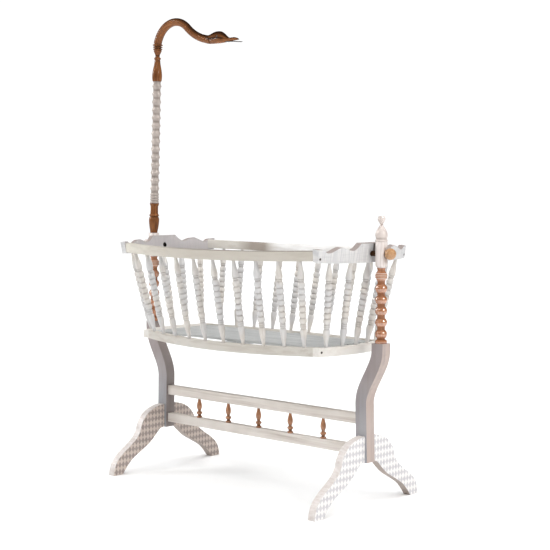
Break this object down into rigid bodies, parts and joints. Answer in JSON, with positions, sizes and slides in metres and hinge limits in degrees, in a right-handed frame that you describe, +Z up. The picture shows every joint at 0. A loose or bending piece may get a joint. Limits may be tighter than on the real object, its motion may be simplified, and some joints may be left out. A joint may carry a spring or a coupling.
{
  "type": "bassinet on stand",
  "caption": "Swinging wooden bassinet hung on pegs between two turned posts on scrolled feet, with a swan-neck veil pole.",
  "frame": {"origin": "floor level, midway between the two legs", "axes": "+X towards the finial post, -X towards the swan pole, -Y front, +Z up"},
  "size_m": [1.119, 0.5342, 1.5539],
  "materials": {
    "taupe_legs": "satin painted",
    "harlequin_feet": "satin painted, harlequin pattern",
    "greige_stretchers": "limed, satin",
    "honey_turnings": "gloss varnish",
    "white_turnings": "satin paint",
    "oak_pegs": "satin varnish",
    "walnut_swan": "gloss varnish",
    "dark_bill": "satin stain",
    "striped_panels": "satin paint, fine stripes",
    "cream_rails": "satin paint",
    "blue_floor": "matt paint",
    "screw_steel": "dark oxide",
    "cream_spindles": "satin paint"
  },
  "bodies": {
    "stand": {"leg_near": "taupe_legs", "leg_far": "taupe_legs", "foot_near_front": "harlequin_feet", "foot_near_back": "harlequin_feet", "foot_far_front": "harlequin_feet", "foot_far_back": "harlequin_feet", "stretcher_lower": "greige_stretchers", "stretcher_upper": "greige_stretchers", "stretcher_spindle_1": "honey_turnings", "stretcher_spindle_2": "honey_turnings", "stretcher_spindle_3": "honey_turnings", "stretcher_spindle_4": "honey_turnings", "stretcher_spindle_5": "honey_turnings", "post_turning_near": "honey_turnings", "post_turning_far": "honey_turnings", "bearing_block_near": "white_turnings", "bearing_block_far": "white_turnings", "finial": "white_turnings"},
    "basket": {"end_panel_near": "striped_panels", "end_panel_far": "striped_panels", "top_rail_front": "cream_rails", "top_rail_back": "cream_rails", "bottom_rail_front": "cream_rails", "bottom_rail_back": "cream_rails", "bottom_end_rail_near": "cream_rails", "bottom_end_rail_far": "cream_rails", "floor_slats": "blue_floor", "floor_battens": "blue_floor", "corner_screws": "screw_steel", "spindle_front_1": "cream_spindles", "spindle_front_2": "cream_spindles", "spindle_front_3": "cream_spindles", "spindle_front_4": "cream_spindles", "spindle_front_5": "cream_spindles", "spindle_front_6": "cream_spindles", "spindle_front_7": "cream_spindles", "spindle_front_8": "cream_spindles", "spindle_front_9": "cream_spindles", "spindle_front_10": "cream_spindles", "spindle_back_1": "cream_spindles", "spindle_back_2": "cream_spindles", "spindle_back_3": "cream_spindles", "spindle_back_4": "cream_spindles", "spindle_back_5": "cream_spindles", "spindle_back_6": "cream_spindles", "spindle_back_7": "cream_spindles", "spindle_back_8": "cream_spindles", "spindle_back_9": "cream_spindles", "spindle_back_10": "cream_spindles", "near_end_spindles": "cream_spindles", "far_end_spindles": "cream_spindles"},
    "peg_near": {"pivot_peg_near": "oak_pegs"},
    "peg_far": {"pivot_peg_far": "oak_pegs"},
    "swan_pole": {"pole_base": "walnut_swan", "pole_shaft": "white_turnings", "pole_baluster": "walnut_swan", "swan_neck": "walnut_swan", "swan_head": "walnut_swan", "swan_lower_bill": "dark_bill"}
  },
  "joints": [
    {"name": "basket_swing", "type": "hinge", "parent": "stand", "child": "basket", "pos_m": [0, 0, 0.776], "axis": [1, 0, 0], "range_deg": [-30, 30]},
    {"name": "peg_near_pull", "type": "slide", "parent": "stand", "child": "peg_near", "axis": [1, 0, 0], "range_m": [0, 0.06]},
    {"name": "peg_far_pull", "type": "slide", "parent": "stand", "child": "peg_far", "axis": [-1, 0, 0], "range_m": [0, 0.06]},
    {"name": "pole_swivel", "type": "hinge", "parent": "stand", "child": "swan_pole", "pos_m": [-0.508, 0, 0.816], "axis": [0.0401, 0, 0.9992], "continuous": true}
  ]
}
